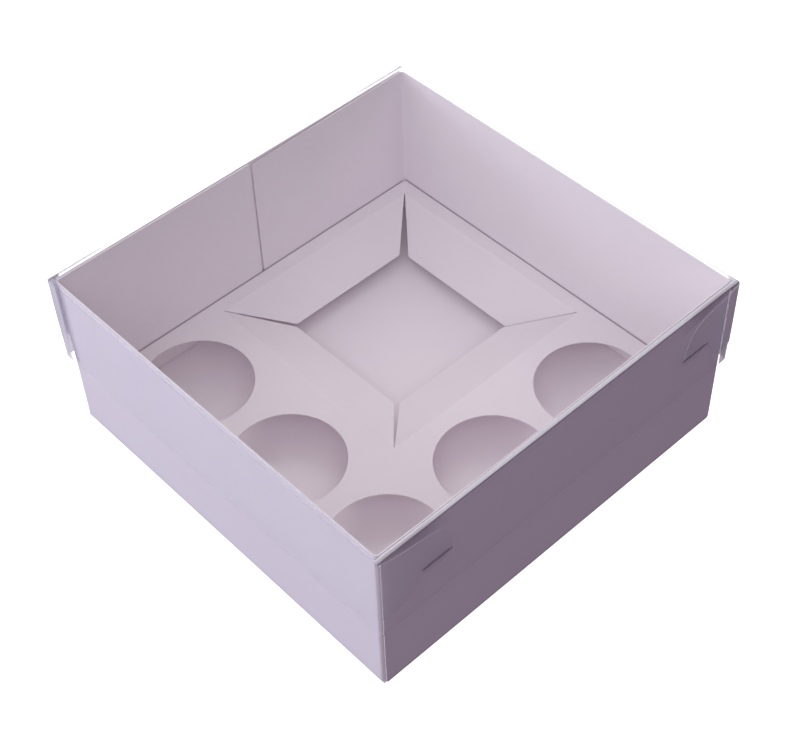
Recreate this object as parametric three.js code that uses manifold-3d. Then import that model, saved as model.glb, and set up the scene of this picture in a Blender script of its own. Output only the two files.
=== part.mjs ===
// A square cake and cupcake box: a folded card tray, a die-cut card insert that stands
// inside it, and a clear film lid that slides down over the tray and locks at its corners.
// Millimetres, +Z up. The origin is the middle of the tray's underside.
import * as THREE from 'three';
import Module from 'manifold-3d';
import { mergeVertices } from 'three/addons/utils/BufferGeometryUtils.js';

const wasm = await Module();
wasm.setup();

// Card and film
const cardThickness = 0.5;
const cardFoldRadius = 0.4;
const filmThickness = 0.25;
const filmFoldRadius = 0.35;
const restGap = 0.3;

// Tray, outside sizes
const trayWidth = 250;
const trayDepth = 250;
const trayHeight = 107;
const sideWallCornerCut = 2.4;
const sideWallEdgeInset = 1.4;
const cornerFoldRadius = 1.6;

// Glue flaps of the tray's front and back walls, folded round inside the side walls
const flapGap = 0.7;
const shortFlapLength = 116.5;
const flapSeam = 1.3;
const flapFootClearance = 0.7;
const flapCornerNick = 0.8;
const leftShortFlapDrop = 2.3;
const rightShortFlapDrop = 0.8;
const longFlapDrop = 0.3;

// Insert
const insertPlay = 1.8;
const insertTop = 22.8;
const insertCornerRelief = 0.6;
const holeDiameter = 65;
const holePitch = 78;
const holesPerSide = 3;
const cornerHoleInset = 46;
const openingSize = 145.5;
const openingInset = 9.1;
const openingSlit = 0.5;
const openingFlapWidth = 31;
const openingFlapBend = { left: 25, back: 30, right: 21, front: 22 };

// Lid
const lidPlay = 2.2;
const skirtDepth = 59;
const longTongueReach = 46.5;
const shortTongueReach = 40;
const tongueRootTop = 1.3;
const tongueRootFoot = 45;
const tongueShoulder = 7.5;
const tongueShoulderReach = 16.5;
const lockDepth = 31.5;
const lockLength = 19;
const lockSlotHeight = 1.3;
const lockTipLength = 7;
const lockTipInset = 1;

// Curves of a tongue's edge: shares of its length where they lean, and their lifts
const tongueFoot = { leanStart: 0.44, leanEnd: 0.74, sag: 2, endSag: 0.5 };
const tongueNose = { lean: 0.62, round: 4.5, lift: 1.4 };
const tongueNeck = { leanStart: 0.73, leanEnd: 0.4, startLift: 1.6, endLift: 1.5 };

const foldSteps = 4;
const holeSegments = 96;

// Solids

function solidOf(geometry) {
  const bare = geometry.clone();
  bare.deleteAttribute('normal');
  bare.deleteAttribute('uv');
  const merged = mergeVertices(bare);
  return new wasm.Manifold(new wasm.Mesh({
    numProp: 3,
    vertProperties: new Float32Array(merged.attributes.position.array),
    triVerts: new Uint32Array(merged.index.array),
  }));
}

function joined(solids) {
  return solids.reduce((whole, solid) => whole.add(solid));
}

function geometryOf(solid) {
  const mesh = solid.getMesh();
  const geometry = new THREE.BufferGeometry();
  geometry.setAttribute('position', new THREE.BufferAttribute(mesh.vertProperties, 3));
  geometry.setIndex(new THREE.BufferAttribute(mesh.triVerts, 1));
  const faceted = geometry.toNonIndexed();
  faceted.computeVertexNormals();
  return faceted;
}

// The same solid turned by half a turn about the vertical axis
function halfTurned(solid) {
  const geometry = geometryOf(solid);
  geometry.rotateZ(Math.PI);
  return solidOf(geometry);
}

// A flat outline given in the two other axes, extruded along the named axis
const extrusionBases = {
  x: [new THREE.Vector3(0, 1, 0), new THREE.Vector3(0, 0, 1), new THREE.Vector3(1, 0, 0)],
  y: [new THREE.Vector3(1, 0, 0), new THREE.Vector3(0, 0, 1), new THREE.Vector3(0, -1, 0)],
  z: [new THREE.Vector3(1, 0, 0), new THREE.Vector3(0, 1, 0), new THREE.Vector3(0, 0, 1)],
};

function extruded(outline, axis, from, to) {
  const low = Math.min(from, to);
  const high = Math.max(from, to);
  const geometry = new THREE.ExtrudeGeometry(outline, {
    depth: high - low,
    bevelEnabled: false,
    curveSegments: 10,
  });
  const basis = new THREE.Matrix4().makeBasis(...extrusionBases[axis]);
  geometry.applyMatrix4(basis);
  const start = axis === 'y' ? high : low;
  const shift = new THREE.Vector3();
  shift[axis] = start;
  geometry.translate(shift.x, shift.y, shift.z);
  return solidOf(geometry);
}

function polygon(points) {
  return new THREE.Shape(points.map(([a, b]) => new THREE.Vector2(a, b)));
}

// A folded sheet seen end on. The points are the corners of its outer face, the sheet
// lies to the left of them, and each fold has the given radius on its inner side.
function foldedOutline(points, thickness, radius) {
  const corners = points.map(([a, b]) => new THREE.Vector2(a, b));
  const outer = [corners[0]];
  const leftOf = (direction) => new THREE.Vector2(-direction.y, direction.x);
  const heading = (i) => corners[i + 1].clone().sub(corners[i]).normalize();
  const inner = [corners[0].clone().addScaledVector(leftOf(heading(0)), thickness)];
  for (let i = 1; i < corners.length - 1; i += 1) {
    const before = heading(i - 1);
    const after = heading(i);
    const turn = Math.atan2(before.cross(after), before.dot(after));
    const side = Math.sign(turn);
    const outerRadius = side > 0 ? radius + thickness : radius;
    const innerRadius = side > 0 ? radius : radius + thickness;
    const tangent = outerRadius * Math.tan(Math.abs(turn) / 2);
    const centre = corners[i].clone()
      .addScaledVector(before, -tangent)
      .addScaledVector(leftOf(before), side * outerRadius);
    const startAngle = Math.atan2(-side * leftOf(before).y, -side * leftOf(before).x);
    for (let step = 0; step <= foldSteps; step += 1) {
      const angle = startAngle + turn * step / foldSteps;
      const ray = new THREE.Vector2(Math.cos(angle), Math.sin(angle));
      outer.push(centre.clone().addScaledVector(ray, outerRadius));
      inner.push(centre.clone().addScaledVector(ray, innerRadius));
    }
  }
  const last = corners.length - 1;
  outer.push(corners[last]);
  inner.push(corners[last].clone().addScaledVector(leftOf(heading(last - 1)), thickness));
  return new THREE.Shape([...outer, ...inner.reverse()]);
}

// Tray: base, four walls, and the front and back walls' flaps inside the side walls.
// The blank is the same seen from both ends, so the back half is the front half turned.

const cardFoldOuter = cardFoldRadius + cardThickness;
const cornerFoldOuter = cornerFoldRadius + cardThickness;
const flapOuterX = trayWidth / 2 - cardThickness - flapGap;
const flapInnerX = flapOuterX - cardThickness;
const flapFoot = cardThickness + flapFootClearance;
const longFlapLength = trayDepth - shortFlapLength - flapSeam;

function trayFlap(side, length, drop) {
  const start = -trayDepth / 2 + cornerFoldOuter;
  const end = -trayDepth / 2 + length;
  const endTop = trayHeight - drop;
  const outline = polygon([
    [start, flapFoot],
    [end - flapCornerNick, flapFoot],
    [end, flapFoot + flapCornerNick],
    [end, endTop - flapCornerNick],
    [end - flapCornerNick, endTop],
    [start, trayHeight],
  ]);
  return extruded(outline, 'x', side * flapInnerX, side * flapOuterX);
}

function trayWallWithFlaps(shortFlapDrop) {
  const wallY = -trayDepth / 2;
  const returnY = wallY + 2 * cornerFoldOuter;
  const wrap = foldedOutline([
    [-flapOuterX, returnY],
    [-flapOuterX, wallY],
    [flapOuterX, wallY],
    [flapOuterX, returnY],
  ], cardThickness, cornerFoldRadius);
  return joined([
    extruded(wrap, 'z', flapFoot, trayHeight),
    trayFlap(1, shortFlapLength, shortFlapDrop),
    trayFlap(-1, longFlapLength, longFlapDrop),
  ]);
}

// Sets a side wall's upright edge back from the corner, and more at its foot
function traySideWallCut(sideX, sideY) {
  const edgeY = sideY * trayDepth / 2;
  const outline = polygon([
    [edgeY - sideY * sideWallCornerCut, -restGap],
    [edgeY + sideY * restGap, -restGap],
    [edgeY + sideY * restGap, trayHeight + restGap],
    [edgeY - sideY * sideWallEdgeInset, trayHeight + restGap],
    [edgeY - sideY * sideWallEdgeInset, sideWallCornerCut],
  ]);
  const outside = sideX * (trayWidth / 2 + restGap);
  const foldLine = sideX * (trayWidth / 2 - cardFoldOuter);
  return extruded(outline, 'x', foldLine, outside);
}

function trayTrough(width) {
  return foldedOutline([
    [-width / 2, trayHeight],
    [-width / 2, 0],
    [width / 2, 0],
    [width / 2, trayHeight],
  ], cardThickness, cardFoldRadius);
}

function buildTray() {
  const sideWallHalf = trayDepth / 2 - restGap;
  const frontWallHalf = flapOuterX - cornerFoldOuter;
  const sideWalls = extruded(trayTrough(trayWidth), 'y', -sideWallHalf, sideWallHalf);
  const endWalls = extruded(trayTrough(trayDepth), 'x', -frontWallHalf, frontWallHalf);
  const cuts = joined([
    traySideWallCut(1, 1),
    traySideWallCut(1, -1),
    traySideWallCut(-1, 1),
    traySideWallCut(-1, -1),
  ]);
  return joined([
    sideWalls.subtract(cuts),
    endWalls,
    trayWallWithFlaps(rightShortFlapDrop),
    halfTurned(trayWallWithFlaps(leftShortFlapDrop)),
  ]);
}

// Insert: a panel on four folded legs, with round holes along two sides and a square
// opening whose four flaps are pushed down. Its own origin is the middle of its top face.

const insertRoomX = 2 * (flapInnerX - restGap);
const insertRoomY = 2 * (trayDepth / 2 - cardThickness - restGap);
const insertWidth = insertRoomX - insertPlay;
const insertDepth = insertRoomY - insertPlay;
const insertLegDepth = insertTop - cardThickness - restGap;
const openingLeft = -insertWidth / 2 + openingInset;
const openingBack = insertDepth / 2 - openingInset;

function cappedTrough(width, depth, thickness, radius) {
  return foldedOutline([
    [width / 2, -depth],
    [width / 2, 0],
    [-width / 2, 0],
    [-width / 2, -depth],
  ], thickness, radius);
}

function insertHoleCentres() {
  const cornerX = insertWidth / 2 - cornerHoleInset;
  const cornerY = -insertDepth / 2 + cornerHoleInset;
  const centres = [];
  for (let i = 0; i < holesPerSide; i += 1) {
    centres.push([cornerX - i * holePitch, cornerY]);
    if (i > 0) centres.push([cornerX, cornerY + i * holePitch]);
  }
  return centres;
}

function holeCutter([x, y]) {
  const cutDepth = 4 * cardThickness;
  const cylinder = new THREE.CylinderGeometry(
    holeDiameter / 2, holeDiameter / 2, cutDepth, holeSegments);
  cylinder.rotateX(Math.PI / 2);
  cylinder.translate(x, y, 0);
  return solidOf(cylinder);
}

// A flap of the opening, hinged along its side of the square and turned down
function openingFlap(turn, bend) {
  const half = openingSize / 2;
  const hinge = half - openingSlit / Math.SQRT2;
  const tip = hinge - openingFlapWidth;
  const hingeOverlap = 0.05;
  const outline = polygon([
    [-hinge, -hingeOverlap],
    [hinge, -hingeOverlap],
    [hinge, 0],
    [tip, openingFlapWidth],
    [-tip, openingFlapWidth],
    [-hinge, 0],
  ]);
  const geometry = new THREE.ExtrudeGeometry(outline, {
    depth: cardThickness,
    bevelEnabled: false,
  });
  geometry.translate(0, 0, -cardThickness);
  geometry.rotateX(-THREE.MathUtils.degToRad(bend));
  geometry.translate(0, -half, 0);
  geometry.rotateZ(THREE.MathUtils.degToRad(turn));
  geometry.translate(openingLeft + half, openingBack - half, 0);
  return solidOf(geometry);
}

function buildInsert() {
  const foldOuter = cardFoldOuter + insertCornerRelief;
  const alongX = cappedTrough(insertWidth, insertLegDepth, cardThickness, cardFoldRadius);
  const alongY = cappedTrough(insertDepth, insertLegDepth, cardThickness, cardFoldRadius);
  const halfX = insertWidth / 2 - foldOuter;
  const halfY = insertDepth / 2 - foldOuter;
  const opening = polygon([
    [openingLeft, openingBack - openingSize],
    [openingLeft + openingSize, openingBack - openingSize],
    [openingLeft + openingSize, openingBack],
    [openingLeft, openingBack],
  ]);
  const sheet = joined([
    extruded(alongX, 'y', -halfY, halfY),
    extruded(alongY, 'x', -halfX, halfX),
  ]);
  const cutters = joined([
    ...insertHoleCentres().map(holeCutter),
    extruded(opening, 'z', -2 * cardThickness, 2 * cardThickness),
  ]);
  return joined([
    sheet.subtract(cutters),
    openingFlap(0, openingFlapBend.front),
    openingFlap(90, openingFlapBend.right),
    openingFlap(180, openingFlapBend.back),
    openingFlap(270, openingFlapBend.left),
  ]);
}

// Lid: a top panel and four skirts of clear film. The front and back skirts run on
// round the corners as tongues, whose tips are tucked through slits in the side skirts.
// Its own origin is the middle of its top panel's upper face.

const filmFoldOuter = filmFoldRadius + filmThickness;
const skirtInnerX = trayWidth / 2 + lidPlay;
const skirtInnerY = trayDepth / 2 + lidPlay;
const skirtOuterX = skirtInnerX + filmThickness;
const skirtOuterY = skirtInnerY + filmThickness;
const tongueInnerX = skirtOuterX + restGap;
const tongueOuterX = tongueInnerX + filmThickness;
const tipOuterX = skirtInnerX - (lidPlay - filmThickness) / 2;

// Outline of a tongue on the right side, from the front corner; `way` is 1 for a tongue
// that runs back from the front corner and -1 for one that runs forward from the back
function tongueOutline(way, reach) {
  const root = filmFoldOuter;
  const heel = reach - lockLength;
  const neck = reach - tongueShoulderReach;
  const at = (s, z) => [way * (s - skirtOuterY), z];
  const shape = new THREE.Shape();
  shape.moveTo(...at(root, -tongueRootFoot));
  shape.bezierCurveTo(
    ...at(heel * tongueFoot.leanStart, -tongueRootFoot - tongueFoot.sag),
    ...at(heel * tongueFoot.leanEnd, -tongueRootFoot - tongueFoot.endSag),
    ...at(heel, -lockDepth));
  shape.lineTo(...at(reach, -lockDepth));
  shape.bezierCurveTo(
    ...at(reach, -lockDepth * tongueNose.lean),
    ...at(reach - tongueNose.round, -tongueShoulder - tongueNose.lift),
    ...at(neck, -tongueShoulder));
  shape.bezierCurveTo(
    ...at(neck * tongueNeck.leanStart, -tongueShoulder + tongueNeck.startLift),
    ...at(neck * tongueNeck.leanEnd, -tongueShoulder + tongueNeck.endLift),
    ...at(root, -tongueRootTop));
  return shape;
}

// The tucked tip: film that slopes in through the slit and hangs behind the skirt
function tongueTip(way, reach) {
  const slope = tongueOuterX - tipOuterX;
  const bendZ = -lockDepth + lockSlotHeight / 4;
  const endZ = -lockDepth - lockTipLength;
  const profile = foldedOutline([
    [tipOuterX, endZ],
    [tipOuterX, bendZ - slope],
    [tongueOuterX, bendZ],
    [tongueOuterX, bendZ + 2 * filmFoldOuter],
  ], filmThickness, filmFoldRadius / 2);
  const innerEnd = reach - lockLength + lockTipInset;
  const outerEnd = reach - lockTipInset;
  const at = (s, z) => [way * (s - skirtOuterY), z];
  const rounded = new THREE.Shape();
  rounded.moveTo(...at(innerEnd, 0));
  rounded.lineTo(...at(innerEnd, endZ + lockTipLength / 2));
  rounded.bezierCurveTo(
    ...at(innerEnd, endZ),
    ...at(innerEnd + lockTipLength / 2, endZ),
    ...at((innerEnd + outerEnd) / 2, endZ));
  rounded.bezierCurveTo(
    ...at(outerEnd - lockTipLength / 2, endZ),
    ...at(outerEnd, endZ),
    ...at(outerEnd, endZ + lockTipLength / 2));
  rounded.lineTo(...at(outerEnd, 0));
  const strip = extruded(
    profile, 'y', way * (innerEnd - skirtOuterY), way * (outerEnd - skirtOuterY));
  return strip.intersect(extruded(rounded, 'x', skirtInnerX - lidPlay, tongueOuterX + restGap));
}

function lockSlot(way, reach) {
  const slope = tongueOuterX - skirtInnerX;
  const slotTop = -lockDepth + lockSlotHeight / 4 - slope / 2 + lockSlotHeight / 2;
  const near = way * (reach - lockLength - skirtOuterY);
  const far = way * (reach - skirtOuterY);
  const outline = polygon([
    [near, slotTop - lockSlotHeight],
    [far, slotTop - lockSlotHeight],
    [far, slotTop],
    [near, slotTop],
  ]);
  return extruded(outline, 'x', skirtInnerX - filmThickness / 2, skirtOuterX + filmThickness / 2);
}

function skirtWrap() {
  const returnY = -skirtOuterY + 2 * filmFoldOuter;
  const wrap = foldedOutline([
    [-tongueOuterX, returnY],
    [-tongueOuterX, -skirtOuterY],
    [tongueOuterX, -skirtOuterY],
    [tongueOuterX, returnY],
  ], filmThickness, filmFoldRadius);
  return extruded(wrap, 'z', -tongueRootFoot, -tongueRootTop);
}

function rightSideTongues() {
  return joined([
    extruded(tongueOutline(1, longTongueReach), 'x', tongueInnerX, tongueOuterX),
    extruded(tongueOutline(-1, shortTongueReach), 'x', tongueInnerX, tongueOuterX),
    tongueTip(1, longTongueReach),
    tongueTip(-1, shortTongueReach),
  ]);
}

function buildLid() {
  const width = 2 * skirtOuterX;
  const depth = 2 * skirtOuterY;
  const sideHalf = skirtInnerY - restGap;
  const endHalf = tongueOuterX - filmFoldOuter;
  const sideTrough = cappedTrough(width, skirtDepth, filmThickness, filmFoldRadius);
  const endTrough = cappedTrough(depth, skirtDepth, filmThickness, filmFoldRadius);
  const slots = joined([lockSlot(1, longTongueReach), lockSlot(-1, shortTongueReach)]);
  const sides = extruded(sideTrough, 'y', -sideHalf, sideHalf)
    .subtract(slots)
    .subtract(halfTurned(slots));
  const tongues = rightSideTongues();
  return joined([
    sides,
    extruded(endTrough, 'x', -endHalf, endHalf),
    skirtWrap(),
    halfTurned(skirtWrap()),
    tongues,
    halfTurned(tongues),
  ]);
}

// Scene graph

function mesh(name, solid, material) {
  const part = new THREE.Mesh(geometryOf(solid), material);
  part.name = name;
  return part;
}

const card = new THREE.MeshStandardMaterial({ color: 0xe6e0ea, roughness: 0.55, metalness: 0 });
const insertCard = new THREE.MeshStandardMaterial({ color: 0xe4dfe6, roughness: 0.6, metalness: 0 });
const clearFilm = new THREE.MeshStandardMaterial({
  color: 0xeef0f6,
  roughness: 0.08,
  metalness: 0,
  transparent: true,
  opacity: 0.15,
});

const tray = mesh('tray', buildTray(), card);

const insert = mesh('insert', buildInsert(), insertCard);
insert.position.set(-insertPlay / 2, insertPlay / 2, insertTop);

const lid = mesh('lid', buildLid(), clearFilm);
lid.position.z = trayHeight + restGap + filmThickness;

const box = new THREE.Group();
box.add(tray, insert, lid);

export default box;
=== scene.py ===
import math

import bpy
from mathutils import Matrix, Vector


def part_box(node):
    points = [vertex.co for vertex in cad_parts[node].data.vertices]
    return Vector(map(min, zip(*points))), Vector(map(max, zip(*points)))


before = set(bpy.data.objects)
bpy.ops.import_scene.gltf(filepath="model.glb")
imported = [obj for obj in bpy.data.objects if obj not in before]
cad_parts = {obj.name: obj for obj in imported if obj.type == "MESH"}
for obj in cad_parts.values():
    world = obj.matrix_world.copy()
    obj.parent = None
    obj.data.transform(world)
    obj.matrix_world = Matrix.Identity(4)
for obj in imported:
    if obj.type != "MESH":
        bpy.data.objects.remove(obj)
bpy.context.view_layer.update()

# Tray
# One sheet of half-millimetre bleached card: a base, four walls, and flaps of the front
# and back walls that turn the corners and lie glued inside the side walls. The outside
# is clay coated and cooler, the inside is the bare warm side, and cut edges are whiter.
# Shade is painted onto the inner walls just under the insert and along the outer foot.


def combine(tree, operation, first, second=None, third=None, clamp=False):
    node = tree.nodes.new("ShaderNodeMath")
    node.operation = operation
    node.use_clamp = clamp
    for index, value in enumerate((first, second, third)):
        if isinstance(value, (int, float)):
            node.inputs[index].default_value = value
        elif value is not None:
            tree.links.new(value, node.inputs[index])
    return node.outputs[0]


def overlap(tree, mask, *more_masks):
    for other in more_masks:
        mask = combine(tree, "MULTIPLY", mask, other)
    return mask


def ramp(tree, value, low, high, to_low=0.0, to_high=1.0):
    node = tree.nodes.new("ShaderNodeMapRange")
    tree.links.new(value, node.inputs["Value"])
    node.inputs["From Min"].default_value = low
    node.inputs["From Max"].default_value = high
    node.inputs["To Min"].default_value = to_low
    node.inputs["To Max"].default_value = to_high
    return node.outputs["Result"]


def fade_at(tree, value, line, offsets):
    return ramp(tree, value, line + offsets[0], line + offsets[1])


def blend_colour(tree, share, first, second):
    node = tree.nodes.new("ShaderNodeMix")
    node.data_type = "RGBA"
    tree.links.new(share, node.inputs["Factor"])
    for socket, value in ((node.inputs[6], first), (node.inputs[7], second)):
        if isinstance(value, tuple):
            socket.default_value = (*value, 1)
        else:
            tree.links.new(value, socket)
    return node.outputs[2]


def place_of(tree):
    split = tree.nodes.new("ShaderNodeSeparateXYZ")
    tree.links.new(tree.nodes.new("ShaderNodeTexCoord").outputs["Object"], split.inputs[0])
    return split.outputs["X"], split.outputs["Y"], split.outputs["Z"]


def board_grain_group():
    group = bpy.data.node_groups.new("board_grain", "ShaderNodeTree")
    for label, size in (("Cloud Scale", 22.0), ("Fibre Scale", 420.0), ("Pulp Scale", 1500.0)):
        socket = group.interface.new_socket(
            label, in_out="INPUT", socket_type="NodeSocketFloat")
        socket.default_value = size
    for label in ("Cloud", "Fibre", "Height"):
        group.interface.new_socket(label, in_out="OUTPUT", socket_type="NodeSocketFloat")
    given = group.nodes.new("NodeGroupInput")
    result = group.nodes.new("NodeGroupOutput")
    place = group.nodes.new("ShaderNodeTexCoord").outputs["Object"]
    layers = {}
    for label, detail in (("Cloud", 2), ("Fibre", 4), ("Pulp", 2)):
        layer = group.nodes.new("ShaderNodeTexNoise")
        layer.inputs["Detail"].default_value = detail
        group.links.new(place, layer.inputs["Vector"])
        group.links.new(given.outputs[f"{label} Scale"], layer.inputs["Scale"])
        layers[label] = layer.outputs["Fac"]
    for label, low, high in (("Cloud", 0.35, 0.65), ("Fibre", 0.3, 0.7)):
        group.links.new(ramp(group, layers[label], low, high), result.inputs[label])
    height = combine(group, "ADD", layers["Fibre"], layers["Pulp"])
    group.links.new(height, result.inputs["Height"])
    return group


board_grain = board_grain_group()
board_gloss = 0.35
roughness_spread = 0.08
fibre_height = 0.0002
cloud_share = 0.6
fibre_share = 0.4


def card_finish(name, roughness, bump_strength):
    material = bpy.data.materials.new(name)
    material.use_nodes = True
    tree = material.node_tree
    shader = tree.nodes["Principled BSDF"]
    grain = tree.nodes.new("ShaderNodeGroup")
    grain.node_tree = board_grain
    rough = ramp(tree, grain.outputs["Fibre"], 0.0, 1.0, roughness, roughness + roughness_spread)
    tree.links.new(rough, shader.inputs["Roughness"])
    shader.inputs["Specular IOR Level"].default_value = board_gloss
    bump = tree.nodes.new("ShaderNodeBump")
    bump.inputs["Strength"].default_value = bump_strength
    bump.inputs["Distance"].default_value = fibre_height
    tree.links.new(grain.outputs["Height"], bump.inputs["Height"])
    tree.links.new(bump.outputs["Normal"], shader.inputs["Normal"])
    return material, tree, shader, grain


def mottled(tree, grain, light_tone, dark_tone):
    cloud = combine(tree, "MULTIPLY", grain.outputs["Cloud"], cloud_share)
    share = combine(tree, "MULTIPLY_ADD", grain.outputs["Fibre"], fibre_share, cloud)
    return blend_colour(tree, share, light_tone, dark_tone)


def wear(node, material):
    node.data.materials.clear()
    node.data.materials.append(material)


tray_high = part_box("tray")[1]
tray_half = tray_high[0]
tray_rim = tray_high[2]
insert_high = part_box("insert")[1][2]
board_thickness = 0.0005
coated_tones = ((0.94, 0.907, 0.977), (0.923, 0.886, 0.961))
bare_tones = ((0.885, 0.83, 0.86), (0.865, 0.81, 0.845))
core_tone = (0.97, 0.955, 0.97)
painted_shade_tone = (0.38, 0.31, 0.37)
painted_shade_strength = 0.75
outside_line = (-0.5 * board_thickness, -0.3 * board_thickness)
rim_line = (-board_thickness, -0.5 * board_thickness)
corner_gap = (-0.0022, -0.003)
above_insert = (0.0006, 0.0)
below_insert = (-0.006, -0.001)
foot_shadow = (0.0022, 0.0008)

white_card, tree, shader, grain = card_finish("white_card", roughness=0.42, bump_strength=0.1)
x, y, z = place_of(tree)
from_middle_x = combine(tree, "ABSOLUTE", x)
from_middle_y = combine(tree, "ABSOLUTE", y)
outermost = combine(tree, "MAXIMUM", from_middle_x, from_middle_y)
innermost = combine(tree, "MINIMUM", from_middle_x, from_middle_y)
outside = fade_at(tree, outermost, tray_half, outside_line)
# Painted shade: a dark band on the inner walls just under the insert's edge, where its shadow
# falls, and along the foot of the outer walls.
shade_behind_insert = overlap(
    tree,
    fade_at(tree, innermost, tray_half, corner_gap),
    fade_at(tree, z, insert_high, above_insert),
    fade_at(tree, z, insert_high, below_insert),
    combine(tree, "SUBTRACT", 1.0, outside))
shade_at_foot = overlap(tree, outside, ramp(tree, z, *foot_shadow))
painted_shade = combine(tree, "MAXIMUM", shade_behind_insert, shade_at_foot)
rim = fade_at(tree, z, tray_rim, rim_line)

coated = mottled(tree, grain, *coated_tones)
bare = mottled(tree, grain, *bare_tones)
face = blend_colour(tree, outside, bare, coated)
# The painted shade darkens the card's own tones under the insert and at the foot.
face = blend_colour(
    tree, combine(tree, "MULTIPLY", painted_shade, painted_shade_strength), face, painted_shade_tone)
tree.links.new(blend_colour(tree, rim, face, core_tone), shader.inputs["Base Color"])
wear(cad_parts["tray"], white_card)

# Insert
# One die-cut sheet of the same card on four folded legs, bare side up, with round holes
# for cupcakes and a square opening whose four flaps are bent down out of the panel.


def facing_of(tree, axis):
    split = tree.nodes.new("ShaderNodeSeparateXYZ")
    normal = tree.nodes.new("ShaderNodeNewGeometry").outputs["True Normal"]
    tree.links.new(normal, split.inputs[0])
    return combine(tree, "ABSOLUTE", split.outputs[axis])


panel_tones = ((0.885, 0.835, 0.86), (0.865, 0.815, 0.84))
panel_line = (-2 * board_thickness, -board_thickness)
upright_facing = (0.25, 0.1)

insert_card, tree, shader, grain = card_finish("insert_card", roughness=0.5, bump_strength=0.14)
x, y, z = place_of(tree)
upright = ramp(tree, facing_of(tree, "Z"), *upright_facing)
in_panel = fade_at(tree, z, insert_high, panel_line)
cut_edge = overlap(tree, upright, in_panel)
face = mottled(tree, grain, *panel_tones)
tree.links.new(blend_colour(tree, cut_edge, face, core_tone), shader.inputs["Base Color"])
wear(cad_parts["insert"], insert_card)

# Lid
# One sheet of clear quarter-millimetre film: a top panel and four skirts. The front and
# back skirts turn the corners as tongues tucked into slits. Creases and cut edges are
# stressed and turn milky, the flat panels are almost invisible. Highlights on the edges,
# shade in the folds, slits and hollows, and the reflections at the corners are painted in.

lid_low, lid_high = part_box("lid")
tongue_face, skirt_face, film_top = lid_high
film_hem = lid_low[2]
film_index = 1.5
film_roughness = 0.12
film_body = 0.035
film_sheen = 0.5
milky = (0.93, 0.935, 0.985)
fold_shade_tone = (0.42, 0.42, 0.52)
slit_shadow_tone = (0.16, 0.13, 0.18)
hollow_shade_tone = (0.5, 0.46, 0.5)
soft_edge = 0.0003

clear_film = bpy.data.materials.new("clear_film")
clear_film.use_nodes = True
tree = clear_film.node_tree
shader = tree.nodes["Principled BSDF"]
shader.inputs["Roughness"].default_value = film_roughness
shader.inputs["IOR"].default_value = film_index
x, y, z = place_of(tree)
from_middle_x = combine(tree, "ABSOLUTE", x)
from_middle_y = combine(tree, "ABSOLUTE", y)
outermost = combine(tree, "MAXIMUM", from_middle_x, from_middle_y)
along_panel = combine(tree, "MINIMUM", from_middle_x, from_middle_y)
below_top = combine(tree, "SUBTRACT", film_top, z)


def between(tree, value, low, high):
    return overlap(
        tree, ramp(tree, value, low - soft_edge, low), ramp(tree, value, high + soft_edge, high))


# Painted highlight along the top panel's edge where it stands over the card: the light
# caught in its fold, partly its own milkiness, fainter at the left and the front.
fade_span = 0.1
left_share = 0.3
front_share = 0.35
card_line = (-0.0002, 0.0001)
side_line = (0.0021, 0.0018)
end_line = (0.0017, 0.0012)
overhang_depth = (0.0007, 0.0004)
strips = []
for across, from_middle, faintest, far_line in (
        (x, from_middle_x, left_share, side_line),
        (y, from_middle_y, front_share, end_line)):
    strips.append(overlap(
        tree,
        ramp(tree, across, -fade_span, fade_span, faintest, 1.0),
        fade_at(tree, from_middle, tray_half, card_line),
        fade_at(tree, from_middle, tray_half, far_line)))
overhang_highlight = overlap(
    tree, combine(tree, "MAXIMUM", *strips), ramp(tree, below_top, *overhang_depth))

# Painted shade along the folded line between the top panel and the skirts, fainter at
# the front; the same line is also made milky.
front_crease_share = 0.4
back_crease_share = 0.9
side_crease_line = (0.001, 0.0015)
crease_line = (-0.0006, -0.0003)
crease_depth = (0.0012, 0.0007)
crease_facing = (0.97, 0.85)
crease_share = combine(
    tree, "MAXIMUM",
    ramp(tree, y, -fade_span, fade_span, front_crease_share, back_crease_share),
    fade_at(tree, from_middle_x, tray_half, side_crease_line))
crease_shade = overlap(
    tree,
    fade_at(tree, outermost, skirt_face, crease_line),
    ramp(tree, below_top, *crease_depth),
    crease_share,
    ramp(tree, facing_of(tree, "Z"), *crease_facing))

# The cut edges of the skirts and of the tongues, made milky as painted highlights.
hem_line = (0.0007, 0.0004)
tongue_line = (-0.0004, -0.00035)
tongue_edge_line = (-0.0005, -0.0003)
tongue_edge_facing = (0.5, 0.3)
hem_highlight = fade_at(tree, z, film_hem, hem_line)
on_tongue = fade_at(tree, from_middle_x, tongue_face, tongue_line)
tongue_edge_highlight = overlap(
    tree,
    ramp(tree, facing_of(tree, "X"), *tongue_edge_facing),
    fade_at(tree, from_middle_x, tongue_face, tongue_edge_line))

# The slits that hold the tongues' tips, a long and a short one in each side skirt,
# painted dark as the shadow inside them.
lock_depth = 0.0315
lock_half_width = 0.0006
long_slit = (0.0275, 0.0465)
short_slit = (0.021, 0.04)
side_skirt_line = (0.0008, 0.001)
side_y = combine(tree, "MULTIPLY", y, combine(tree, "SIGN", x))
at_slits = combine(
    tree, "MAXIMUM",
    between(tree, side_y, long_slit[0] - skirt_face, long_slit[1] - skirt_face),
    between(tree, side_y, skirt_face - short_slit[1], skirt_face - short_slit[0]))
on_side = fade_at(tree, from_middle_x, tray_half, side_skirt_line)
slit_shadow = overlap(
    tree, on_side, at_slits,
    between(tree, below_top, lock_depth - lock_half_width, lock_depth + lock_half_width))

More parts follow.
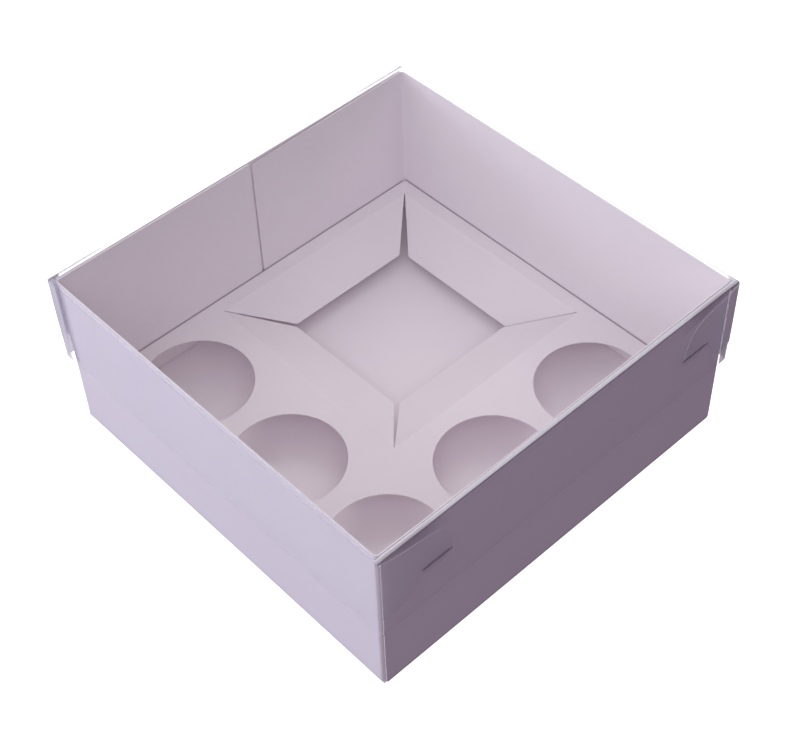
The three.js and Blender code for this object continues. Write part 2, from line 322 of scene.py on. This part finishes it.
# Painted shade in the hollow above each tongue's curved neck, under the overhang.
neck_slope = 0.21
neck_start = 0.0013
neck_shade = (0.0008, -0.0004)
from_corner = combine(tree, "SUBTRACT", skirt_face, from_middle_y)
neck_depth = combine(tree, "MULTIPLY_ADD", from_corner, neck_slope, neck_start)
hollow_shade = overlap(
    tree,
    combine(tree, "SUBTRACT", on_side, on_tongue, clamp=True),
    ramp(tree, combine(tree, "SUBTRACT", below_top, neck_depth), *neck_shade),
    ramp(tree, from_corner, long_slit[1], long_slit[0]))

# The two upright corners where the film stands clear of the card, and the fold in each.
# The corners are made nearly opaque as painted reflection of the stacked film layers,
# partly the bent film's own milkiness, and the fold gets painted shade.
wrap_taper = 0.03
wrap_depth = (0.0002, 0.0006)
wrap_start = (-0.0048, -0.0036)
wrap_end = (0.0033, 0.0029)
fold_line = (0.0026, 0.003)
tapered = combine(tree, "MULTIPLY_ADD", below_top, wrap_taper, along_panel)
at_wrap = overlap(
    tree,
    combine(tree, "GREATER_THAN", combine(tree, "MULTIPLY", x, y), 0.0),
    ramp(tree, below_top, *wrap_depth),
    fade_at(tree, along_panel, tray_half, wrap_start))
corner_reflection = overlap(tree, at_wrap, fade_at(tree, tapered, tray_half, wrap_end))
upright_fold_shade = overlap(
    tree, at_wrap, between(tree, tapered, tray_half + fold_line[0], tray_half + fold_line[1]))

# Painted shade of the hollows, folds and slits over the milky film.
tone = blend_colour(tree, hollow_shade, milky, hollow_shade_tone)
for mask, darker in (
        (upright_fold_shade, fold_shade_tone), (crease_shade, fold_shade_tone), (slit_shadow, slit_shadow_tone)):
    tone = blend_colour(tree, mask, tone, darker)
tree.links.new(tone, shader.inputs["Base Color"])

fresnel = tree.nodes.new("ShaderNodeFresnel")
fresnel.inputs["IOR"].default_value = film_index
solid = combine(tree, "MULTIPLY_ADD", fresnel.outputs["Fac"], film_sheen, film_body)
# Opacity adds the painted highlights, shade and corner reflections to the film's haze.
for mask, strength in (
        (overhang_highlight, 0.6), (crease_shade, 0.5), (hem_highlight, 0.16), (on_tongue, 0.07),
        (tongue_edge_highlight, 0.4), (slit_shadow, 0.6), (hollow_shade, 0.3), (corner_reflection, 0.75)):
    solid = combine(tree, "MULTIPLY_ADD", mask, strength, solid)
inner_face = tree.nodes.new("ShaderNodeNewGeometry").outputs["Backfacing"]
outer_face = combine(tree, "SUBTRACT", 1.0, inner_face)
tree.links.new(
    combine(tree, "MULTIPLY", solid, outer_face, clamp=True), shader.inputs["Alpha"])
wear(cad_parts["lid"], clear_film)

# Floor
# A plain pale floor under the box, wide enough to fill the picture. It glows a little,
# as a lit white sweep does, and throws no light up at the box's shaded side.

floor_half = 6.0
floor_tone = (0.94, 0.94, 0.95, 1)
floor_roughness = 0.7
floor_glow = 1.1
floor_mesh = bpy.data.meshes.new("floor")
floor_mesh.from_pydata(
    [(a * floor_half, b * floor_half, 0) for a, b in ((-1, -1), (1, -1), (1, 1), (-1, 1))],
    [], [(0, 1, 2, 3)])
floor = bpy.data.objects.new("floor", floor_mesh)
bpy.context.collection.objects.link(floor)
pale_floor = bpy.data.materials.new("pale_floor")
pale_floor.use_nodes = True
shader = pale_floor.node_tree.nodes["Principled BSDF"]
for label, value in (
        ("Base Color", floor_tone), ("Roughness", floor_roughness),
        ("Emission Color", floor_tone), ("Emission Strength", floor_glow)):
    shader.inputs[label].default_value = value
floor_mesh.materials.append(pale_floor)
floor.visible_diffuse = False
floor.visible_glossy = False

# Light
# Soft studio light: broad panels in front, overhead, behind and at the front right, a
# small one low at the left, and a weak bounce from below. The right wall gets the least.

middle = Vector((0, 0, 0.05))
for name, place, size, watts, colour in (
        ("left_near", (-1.3, -1.1, 0.35), (1.0, 0.6), 10.6, (0.893, 0.883, 1.0)),
        ("front", (-0.5, -2.2, 0.9), (2.0, 1.6), 21.6, (0.9, 0.934, 1.0)),
        ("overhead", (0, 0, 1.6), (3.4, 3.4), 17.7, (1.0, 0.956, 0.98)),
        ("back_left", (-1.2, 1.4, 1.9), (2.0, 1.8), 16.9, (1.0, 0.972, 0.966)),
        ("front_right", (1.3, -1.3, 2.0), (1.8, 1.8), 13.7, (0.878, 0.858, 1.0))):
    light = bpy.data.lights.new(name, "AREA")
    light.shape = "RECTANGLE"
    light.size, light.size_y = size
    light.energy = watts
    light.color = colour
    holder = bpy.data.objects.new(name, light)
    holder.location = place
    holder.rotation_euler = (middle - Vector(place)).to_track_quat("-Z", "Y").to_euler()
    bpy.context.collection.objects.link(holder)

bounce_tone = (0.13, 0.064, 0.115)
sky_tone = (0.067, 0.058, 0.0735)
backdrop_tone = (1.0, 1.0, 1.0)
horizon = (-0.1, 0.2)
studio = bpy.data.worlds.new("studio")
studio.use_nodes = True
bpy.context.scene.world = studio
tree = studio.node_tree
direction = tree.nodes.new("ShaderNodeSeparateXYZ")
tree.links.new(
    tree.nodes.new("ShaderNodeTexCoord").outputs["Generated"], direction.inputs[0])
above = ramp(tree, direction.outputs["Z"], *horizon)
fill = blend_colour(tree, above, bounce_tone, sky_tone)
seen = tree.nodes.new("ShaderNodeLightPath").outputs["Is Camera Ray"]
tree.links.new(
    blend_colour(tree, seen, fill, backdrop_tone), tree.nodes["Background"].inputs["Color"])

# Camera
# The photograph looks down on the front corner of the box from just under a metre, with
# the front wall at the left of the picture and the right wall at the right.

picture_width = 800
focal_pixels = 1645
sensor_width = 36
azimuth = math.radians(48.26)
elevation = math.radians(47.94)
roll = math.radians(-2.12)
distance = 0.9348
sideways = 0.0022
lift = 0.0251

back = Vector((math.sin(azimuth) * math.cos(elevation),
               -math.cos(azimuth) * math.cos(elevation),
               math.sin(elevation)))
right = Vector((math.cos(azimuth), math.sin(azimuth), 0))
up = back.cross(right)
tilted_right = right * math.cos(roll) + up * math.sin(roll)
tilted_up = up * math.cos(roll) - right * math.sin(roll)
camera_lens = bpy.data.cameras.new("camera")
camera_lens.sensor_width = sensor_width
camera_lens.lens = focal_pixels / picture_width * sensor_width
camera = bpy.data.objects.new("camera", camera_lens)
turn = Matrix((tilted_right, tilted_up, back)).transposed()
place = tilted_right * sideways + tilted_up * lift + back * distance
camera.matrix_world = Matrix.Translation(place) @ turn.to_4x4()
bpy.context.collection.objects.link(camera)
bpy.context.scene.camera = camera

# Picture
# Plain tones, and enough bounces for the light under the insert and through the film.

bpy.context.scene.view_settings.view_transform = "Standard"
bpy.context.scene.cycles.max_bounces = 24
bpy.context.scene.cycles.diffuse_bounces = 16
bpy.context.scene.cycles.transparent_max_bounces = 48
